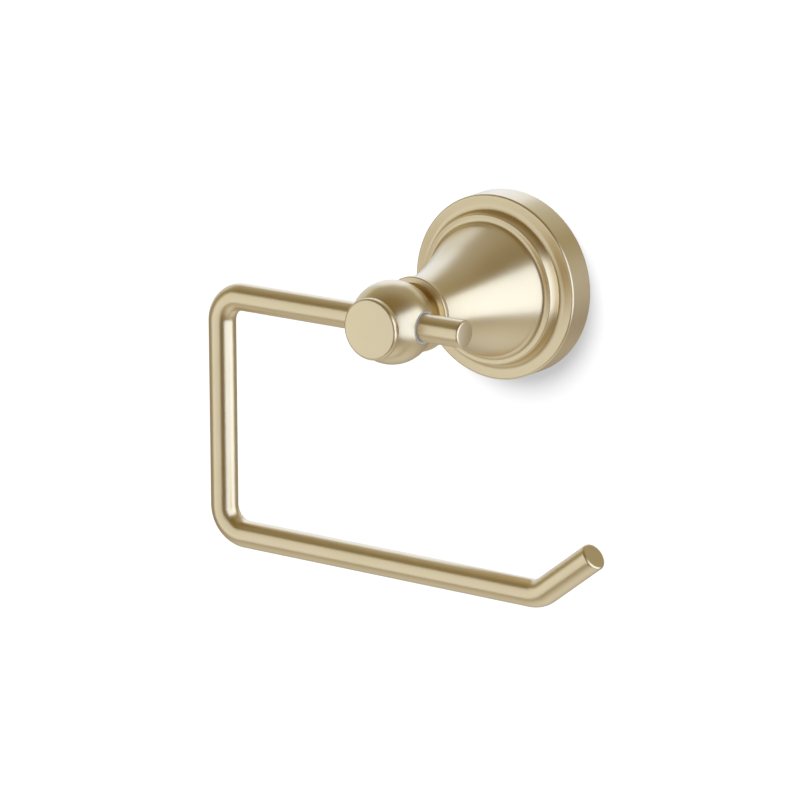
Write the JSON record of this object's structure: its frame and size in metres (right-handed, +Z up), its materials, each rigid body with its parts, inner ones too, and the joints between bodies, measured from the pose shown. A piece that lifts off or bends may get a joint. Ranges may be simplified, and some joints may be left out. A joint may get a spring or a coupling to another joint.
{
  "type": "toilet paper holder",
  "caption": "Wall-mounted toilet paper holder: a stepped round rose and trumpet post carry a ball, in which a bent open bar for the roll pivots.",
  "frame": {"origin": "centre of the wall face, on the wall plane", "axes": "+Y into the wall, +Z up, +X to the right of someone facing the wall; the post stands out along -Y"},
  "size_m": [0.135, 0.0715, 0.1029],
  "materials": {
    "brushed_brass": "brushed and lacquered",
    "brushed_brass_bar": "brushed along the bar and lacquered",
    "turned_brass": "as turned",
    "stainless_steel": "plain",
    "zinc_plated_steel": "zinc plated",
    "grey_nylon": "moulded, matte",
    "black_rubber": "moulded"
  },
  "bodies": {
    "post": {"rose": "brushed_brass", "bell_post": "brushed_brass", "rose_ring_nut": "turned_brass", "neck_collar": "brushed_brass", "ball_head": "brushed_brass", "front_cap": "brushed_brass", "cap_o_ring": "black_rubber", "arm_retaining_screw": "stainless_steel", "pivot_bush_left": "grey_nylon", "pivot_bush_right": "grey_nylon", "post_bolt": "stainless_steel", "plain_washer": "stainless_steel", "spring_washer": "stainless_steel", "locating_pin": "stainless_steel", "rose_set_screw": "stainless_steel", "wall_bracket": "zinc_plated_steel"},
    "arm": {"pivot_arm": "brushed_brass_bar"}
  },
  "joints": [
    {"name": "arm_pivot", "type": "hinge", "parent": "post", "child": "arm", "pos_m": [0, -0.06, 0], "axis": [-1, 0, 0], "range_deg": [-10, 100]}
  ]
}
